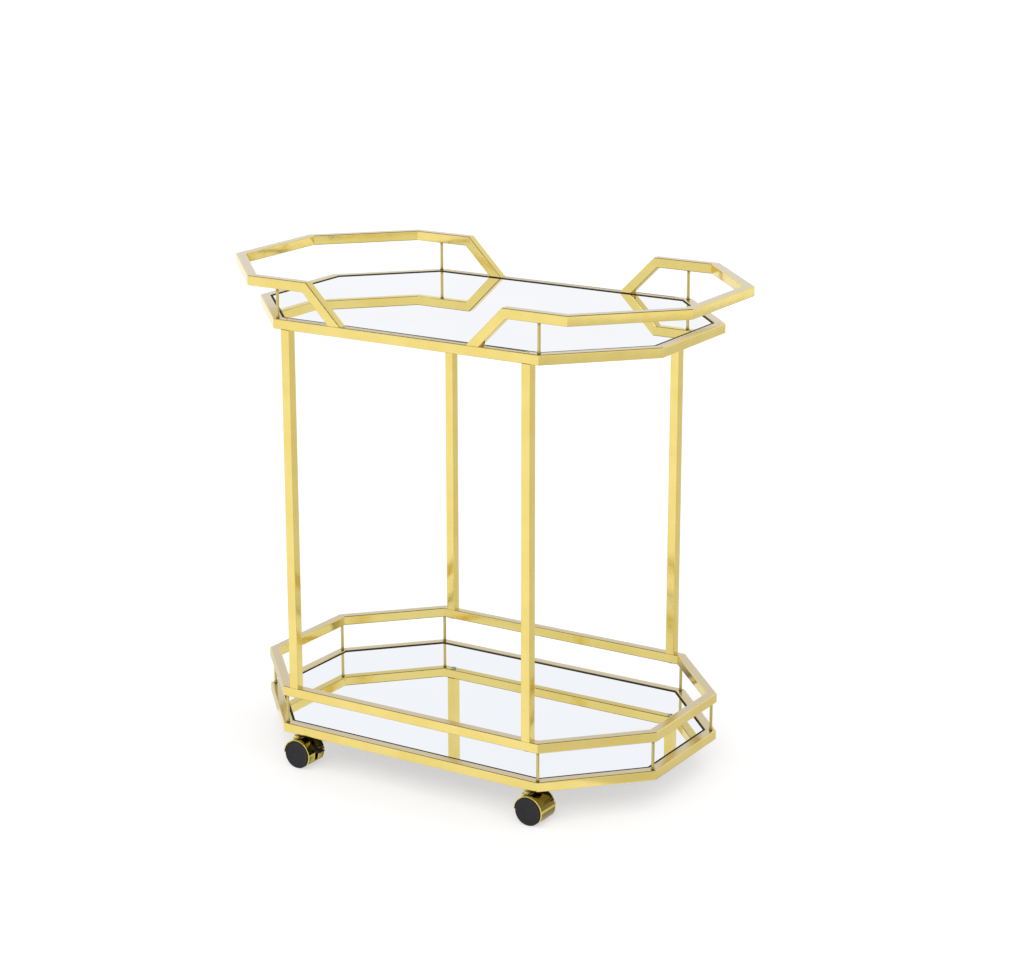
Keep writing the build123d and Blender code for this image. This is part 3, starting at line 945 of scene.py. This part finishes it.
TAB_LEG = 5.5
TAB_BEND = 1.6
TAB_REACH = 14.0
TAB_HALF = 13.0
TAB_EDGE = 0.35 * MM
LONG_SIDES = (0, 4)
LONG_SIDE_TABS = (0.25, 0.75)
SHORT_SIDE_TABS = (0.5,)

for tray in ("upper", "lower"):
    low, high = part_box(f"{tray}_support_tabs")
    thick = (high.z - low.z) / MM
    corners = [
        (TAB_REACH, 0, 0.5),
        (0, 0, TAB_BEND),
        (0, -thick - TAB_LEG, 0.3),
        (thick, -thick - TAB_LEG, 0.3),
        (thick, -thick, TAB_BEND * 0.4),
        (TAB_REACH, -thick, 0.5),
    ]
    loop = eased([corners[-1]] + corners + [corners[0]])[1:-1]
    outline = [Vector((p.x, p.y, 0)) for p in loop]
    # The tab's own Z is up, its Y reaches in from the tube, and its width is along X
    to_upright = Matrix(((0, 0, 1, 0), (1, 0, 0, 0), (0, 1, 0, 0), (0, 0, 0, 1)))
    half = TAB_HALF * MM
    tab = prism(f"{tray} tab", outline, -half, half, TAB_EDGE, gold_plate, to_upright)
    weld(tab)
    inner = tray_outline(high.z, TUBE)
    places = []
    turns = []
    for side in range(8):
        start, end = inner[side], inner[(side + 1) % 8]
        for share in LONG_SIDE_TABS if side in LONG_SIDES else SHORT_SIDE_TABS:
            places.append(start.lerp(end, share))
            turns.append(-Vector((1, 0)).angle_signed((start - end).to_2d()) - pi)
    piece = repeat(f"{tray}_mirror_tabs", tab, places, turns, gold_plate)
    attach(piece, "root")
    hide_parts(f"{tray}_support_tabs")


# ------------------------------------------------------------------ caster stems
# Turned and zinc-plated steel: a swivel pin, a collar under the tray's tube and a shank above,
# screwed into a socket that is shut in the tube.

stem_low, stem_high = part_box("caster_stems")
tray_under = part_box("lower_tray_end_rails")[0].z
COLLAR_FOOT = 48.6
PIN_RADIUS = 3.0
COLLAR_RADIUS = 5.0
STEM_SHANK = 4.0
shank_low = (tray_under - stem_low.z) / MM
pin_top = COLLAR_FOOT - stem_low.z / MM
shank_high = (stem_high.z - stem_low.z) / MM
stem_profile = eased(
    [
        (0, 0, 0),
        (PIN_RADIUS, 0, 0.5),
        (PIN_RADIUS, pin_top, 0.1),
        (COLLAR_RADIUS, pin_top, 0.4),
        (COLLAR_RADIUS, shank_low - 1.4, 0.15),
        (4.6, shank_low - 1.1, 0.1),
        (4.6, shank_low - 0.6, 0.1),
        (COLLAR_RADIUS, shank_low - 0.3, 0.1),
        (COLLAR_RADIUS, shank_low, 0.1),
        (STEM_SHANK, shank_low, 0),
        (STEM_SHANK, shank_high, 0.6),
        (0, shank_high, 0),
    ]
)
stem = revolve("stem", stem_profile, (0, 0, 0), UP, zinc_steel, 48)
places = [Vector((c.x, c.y, stem_low.z)) for c in leg_centres]
piece = repeat("swivel_stems", stem, places, (0.1, 0.9, 1.7, 2.5), zinc_steel)
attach(piece, "root")
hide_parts("caster_stems")

for node in ("caster_sockets", "leg_thread_inserts", "front_left_brake_pin", "back_left_brake_pin"):
    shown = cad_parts[node]
    if not shown.data.materials:
        shown.data.materials.append(zinc_steel)
    for slot in shown.material_slots:
        slot.material = zinc_steel


# ------------------------------------------------------------------ caster hoods
# Die-cast bodies, brightly plated: a curved shell over both wheels' top and back, a web between
# the wheels that carries the axle, and a boss for the stem. A raised rib crosses the back; the
# two braked ones are slotted for their levers.

CAST_GOLD, CAST_DEEP = (0.80, 0.68, 0.15, 1), (0.70, 0.55, 0.10, 1)
gold_hood = gold_material("bright cast gold plate", CAST_GOLD, CAST_DEEP, polish=0.05, ripple=0.3)

HOOD_RADIUS = 25.0
HOOD_THICKNESS = 1.4
HOOD_BACK_ANGLE = -35.0
HOOD_FRONT_ANGLE = 180.0
RIB_ANGLE = 8.0
RIB_HEIGHT = 0.7
RIB_HALF = 2.3
RIB_STEPS = (0, 0.6, 0.85, 0.97, 1, 1.1)
PLATE_DROP = 0.22
PLATE_MARGIN = 1.8
PLATE_END_ANGLE = 150.0
SHELL_EDGE = 0.5
EDGE_ANGLE = 1.2
WEB_HALF = 5.5
WEB_RADIUS = 6.0
SLOT_HALF = 4.3
SLOT_EASE = 0.05
SLOT_ANGLES = (-24.0, 52.0)
SLOT_RADII = (27.0, 8.0)
BOSS_BORE = 3.06
BRAKED = ("front_left", "back_left")


def hood_surface(angle):
    """Radius of the shell's outer face, proud at the rib."""
    away = abs(angle - RIB_ANGLE) / RIB_HALF
    return HOOD_RADIUS + RIB_HEIGHT * max(0.0, 1 - away**4)


def side_view(axle):
    """The turn from a side view in millimetres, drawn about an axle, to the cart's frame."""
    turned = Matrix(((MM, 0, 0, 0), (0, 0, -MM, 0), (0, MM, 0, 0), (0, 0, 0, 1)))
    return Matrix.Translation(axle) @ turned


def arc_points(radius, start, end, steps):
    """Points along an arc in the side view, in millimetres and degrees."""
    turns = [radians(start + (end - start) * step / steps) for step in range(steps + 1)]
    return [Vector((radius * cos(turn), radius * sin(turn), 0)) for turn in turns]


for corner, centre in zip(CORNERS, leg_centres):
    axle_low, axle_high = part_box(f"{corner}_caster_axle")
    axle = (axle_low + axle_high) / 2
    low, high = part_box(f"{corner}_caster_hood")
    half = (high.y - low.y) / 2 / MM
    to_world = side_view(axle)

    angles = [HOOD_BACK_ANGLE, HOOD_BACK_ANGLE + 0.35, HOOD_BACK_ANGLE + EDGE_ANGLE]
    angles += [HOOD_BACK_ANGLE + 2.5 * k for k in range(1, 15)]
    angles += [RIB_ANGLE + RIB_HALF * share * hand for share in RIB_STEPS for hand in (-1, 1)]
    angles += [12.5 + 2.5 * k for k in range(67)]
    angles += [HOOD_FRONT_ANGLE - EDGE_ANGLE, HOOD_FRONT_ANGLE - 0.35, HOOD_FRONT_ANGLE]
    angles = sorted(set(round(angle, 3) for angle in angles))
    points = []
    corner_turns = [pi / 2 * step / 3 for step in range(4)]
    painted_plate_shade = []
    for angle in angles:
        top = hood_surface(angle)
        bottom = HOOD_RADIUS - HOOD_THICKNESS
        end_gap = min(angle - HOOD_BACK_ANGLE, HOOD_FRONT_ANGLE - angle)
        pinch = SHELL_EDGE * max(0.0, 1 - end_gap / EDGE_ANGLE) ** 2
        outside, inside = top - pinch, bottom + pinch
        ring = []
        rims = ((1, outside), (-1, outside), (-1, inside), (1, inside))
        for quarter, (side, rim) in enumerate(rims):
            inwards = -1 if rim > (top + bottom) / 2 else 1
            for turn in corner_turns:
                spin = quarter * pi / 2 + turn
                ring.append(
                    (
                        side * (half - SHELL_EDGE) + SHELL_EDGE * cos(spin),
                        rim + inwards * SHELL_EDGE + SHELL_EDGE * sin(spin),
                    )
                )
            if quarter == 0:
                away = min(abs(angle - RIB_ANGLE) - RIB_HALF, end_gap - 3, PLATE_END_ANGLE - angle)
                sunk = max(0.0, min(1.0, away / 2.5))
                for across in (half - 1.5, half - 2.1, 2.1 - half, 1.5 - half):
                    drop = sunk * PLATE_DROP if abs(across) < half - PLATE_MARGIN else 0.0
                    ring.append((across, rim - drop))
        turn = radians(angle)
        for across, reach in ring:
            points.append(to_world @ Vector((reach * cos(turn), reach * sin(turn), across)))
            outer = reach > (top + bottom) / 2
            painted_plate_shade.append(sunk if outer and abs(across) < half - PLATE_MARGIN else 0.0)
    around = len(ring)
    faces = [tuple(range(around)), tuple(range(len(points) - around, len(points)))]
    faces += strips(len(angles), around)
    shell = mesh_piece(f"{corner} shell", points, faces, gold_hood)
    # The sunk plates on the shell's outer face are marked shaded, so their gold is painted darker:
    # painted shade.
    shaded = shell.data.attributes.new("shaded", "FLOAT", "POINT")
    for item, tone in zip(shaded.data, painted_plate_shade):
        item.value = tone
    weld(shell)

    web_outline = arc_points(HOOD_RADIUS - 1, HOOD_BACK_ANGLE + 1.5, HOOD_FRONT_ANGLE - 1.5, 60)
    web_outline += arc_points(WEB_RADIUS, 180.0, 325.0, 24)
    web = prism(f"{corner} web", web_outline, -WEB_HALF, WEB_HALF, 0.4, gold_hood, to_world)
    weld(web)

    boss_top = (high.z - axle.z) / MM
    boss_profile = eased(
        [
            (BOSS_BORE, 1.0, 0),
            (8.5, 16.0, 0),
            (8.0, 20.5, 0.5),
            (5.6, 22.4, 1.2),
            (5.5, boss_top, 0.6),
            (BOSS_BORE, boss_top, 0.2),
            (BOSS_BORE, 1.0, 0),
        ]
    )
    boss = revolve(f"{corner} boss", boss_profile, (centre.x, centre.y, axle.z), UP, gold_hood, 64)
    parts = [shell, web, boss]
    if corner in BRAKED:
        outline = arc_points(SLOT_RADII[0], *SLOT_ANGLES, 24)
        outline += reversed(arc_points(SLOT_RADII[1], *SLOT_ANGLES, 16))
        for part in (shell, web):
            slot = prism("slot", outline, -SLOT_HALF, SLOT_HALF, SLOT_EASE, gold_hood, to_world)
            weld(slot)
            cut(part, [slot])
    piece = smooth(combine(f"{corner}_hood_casting", parts))
    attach(piece, f"{corner}_swivel")
    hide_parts(f"{corner}_caster_hood")


# ------------------------------------------------------------------ caster axles
# A plain steel rod through the web, with chamfered ends, pressed into place.

for corner in CORNERS:
    low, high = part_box(f"{corner}_caster_axle")
    reach = (high.y - low.y) / MM
    radius = (high.z - low.z) / 2 / MM
    rod = eased([(0, 0, 0), (radius, 0, 0.4), (radius, reach, 0.4), (0, reach, 0)])
    start = (low + high) / 2
    start.y = low.y
    piece = revolve(f"{corner}_axle_rod", rod, start, (0, 1, 0), zinc_steel, 40)
    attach(piece, f"{corner}_swivel")
    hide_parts(f"{corner}_caster_axle")


# ------------------------------------------------------------------ wheels
# Moulded black nylon: a dished outer face with a raised cap, a rounded tread with the mould's
# parting line, and a pocket round the hub on the inside.


def nylon_material(name, dark, worn, sheen):
    """Satin moulded nylon: fine spark texture, cloudy roughness, and greyer and rougher where it rubs,
    most on the tread.
    """
    material, made = new_material(name)
    place = made.place()
    sizes = made.mark("turned", "Vector")
    radius = made.node("ShaderNodeSeparateXYZ", None, {0: sizes}, output="X")
    tread = radius.between(0.0222, 0.0229)
    spark = place.noise(1500.0, 2.0)
    scuffs = place.noise(190.0, 4.0, Distortion=1.0)
    clouds = place.noise(45.0, 3.0)
    wear = scuffs.between(0.5, 0.75) * (0.25 + tread * 0.75)
    close_material(
        made,
        Base_Color=wear.tint(dark, worn),
        Roughness=sheen + clouds * 0.08 + wear * 0.2 + tread * 0.08,
        Specular_IOR_Level=0.24,
        Normal=(spark + scuffs * 0.4).bump(0.25, 0.2 * MM),
    )
    return material


WHEEL_BLACK, WHEEL_WORN = (0.012, 0.012, 0.015, 1), (0.055, 0.054, 0.052, 1)
wheel_nylon = nylon_material("black wheel nylon", WHEEL_BLACK, WHEEL_WORN, 0.30)

wheel_profile = eased(
    [
        (0, 15.1, 0),
        (4.6, 15.0, 0.5),
        (5.0, 14.85, 0.2),
        (5.4, 14.85, 0.2),
        (5.8, 15.0, 0.3),
        (18.2, 15.05, 1.2),
        (19.6, 15.5, 0.9),
        (21.6, 15.5, 0.6),
        (23.0, 14.1, 0.6),
        (23.0, 7.95, 0.05),
        (22.88, 7.8, 0),
        (22.88, 7.7, 0),
        (23.0, 7.55, 0.05),
        (23.0, 1.2, 0.5),
        (21.8, 0, 0.4),
        (19.5, 0, 0.3),
        (19.3, 9.0, 1.0),
        (6.2, 9.0, 1.0),
        (6.0, 0, 0.3),
        (2.55, 0, 0.2),
        (2.55, 12.5, 0),
        (0, 12.5, 0),
    ]
)
for corner in CORNERS:
    for place, outwards in (("front", -1), ("back", 1)):
        low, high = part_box(f"{corner}_{place}_wheel")
        start = (low + high) / 2
        start.y = high.y if outwards < 0 else low.y
        axis = (0, outwards, 0)
        piece = revolve(f"{corner}_{place}_roller", wheel_profile, start, axis, wheel_nylon, 96)
        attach(piece, f"{corner}_{place}_wheel")
        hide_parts(f"{corner}_{place}_wheel")


# ------------------------------------------------------------------ brake levers
# Moulded black nylon on a cross pin: a neck that runs in the hood's slot and a wide foot pedal,
# thinner towards its tip, with grip grooves across the top.

LEVER_BLACK, LEVER_WORN = (0.016, 0.016, 0.017, 1), (0.06, 0.058, 0.055, 1)
lever_nylon = nylon_material("black lever nylon", LEVER_BLACK, LEVER_WORN, 0.36)

LEVER_SHARP_CORNER = radians(50)
LEVER_BOSS = 3.15
NECK_HALF = 3.75
PEDAL_HALF = 6.45
PEDAL_START = 27.6
PEDAL_END = 36.4
GROOVES = 4
GROOVE_DEPTH = 0.45

for corner in BRAKED:
    low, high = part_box(f"{corner}_brake_lever")
    pin_low, pin_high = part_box(f"{corner}_brake_pin")
    axle_low, axle_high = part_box(f"{corner}_caster_axle")
    axle = (axle_low + axle_high) / 2
    to_world = side_view(axle)
    pivot = (pin_low + pin_high) / 2 - axle
    pivot_x, pivot_z = pivot.x / MM, pivot.z / MM
    boss_ring = [
        Vector((pivot_x + LEVER_BOSS * cos(turn), pivot_z + LEVER_BOSS * sin(turn), 0))
        for turn in [radians(62 + 212 * step / 20) for step in range(21)]
    ]
    neck = boss_ring + [Vector((PEDAL_START + 1, 4.2, 0)), Vector((PEDAL_START + 1, 8.6, 0))]
    neck_piece = prism(f"{corner} neck", neck, -NECK_HALF, NECK_HALF, 0.35, lever_nylon, to_world)
    weld(neck_piece)

    slope = (7.8 - 9.0) / (PEDAL_END - PEDAL_START)
    top_line = []
    for step in range(GROOVES * 4 + 1):
        x = PEDAL_END - 1.2 - (PEDAL_END - PEDAL_START - 2.2) * step / (4 * GROOVES)
        dip = GROOVE_DEPTH if step % 4 in (2, 3) and step < GROOVES * 4 else 0.0
        top_line.append(Vector((x, 8.95 + slope * (x - PEDAL_START) - dip, 0)))
    pedal = [
        Vector((PEDAL_START, 4.6, 0)),
        Vector((PEDAL_START + 0.6, 4.1, 0)),
        Vector((PEDAL_END - 0.8, 5.0, 0)),
        Vector((PEDAL_END, 5.7, 0)),
        Vector((PEDAL_END, 7.2, 0)),
    ]
    pedal += top_line + [Vector((PEDAL_START, 8.5, 0))]
    half = PEDAL_HALF
    pedal_piece = prism(f"{corner} pedal", pedal, -half, half, 0.3, lever_nylon, to_world)
    weld(pedal_piece)
    piece = smooth(combine(f"{corner}_brake_pedal", [neck_piece, pedal_piece]), LEVER_SHARP_CORNER)
    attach(piece, f"{corner}_brake_lever")
    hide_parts(f"{corner}_brake_lever")
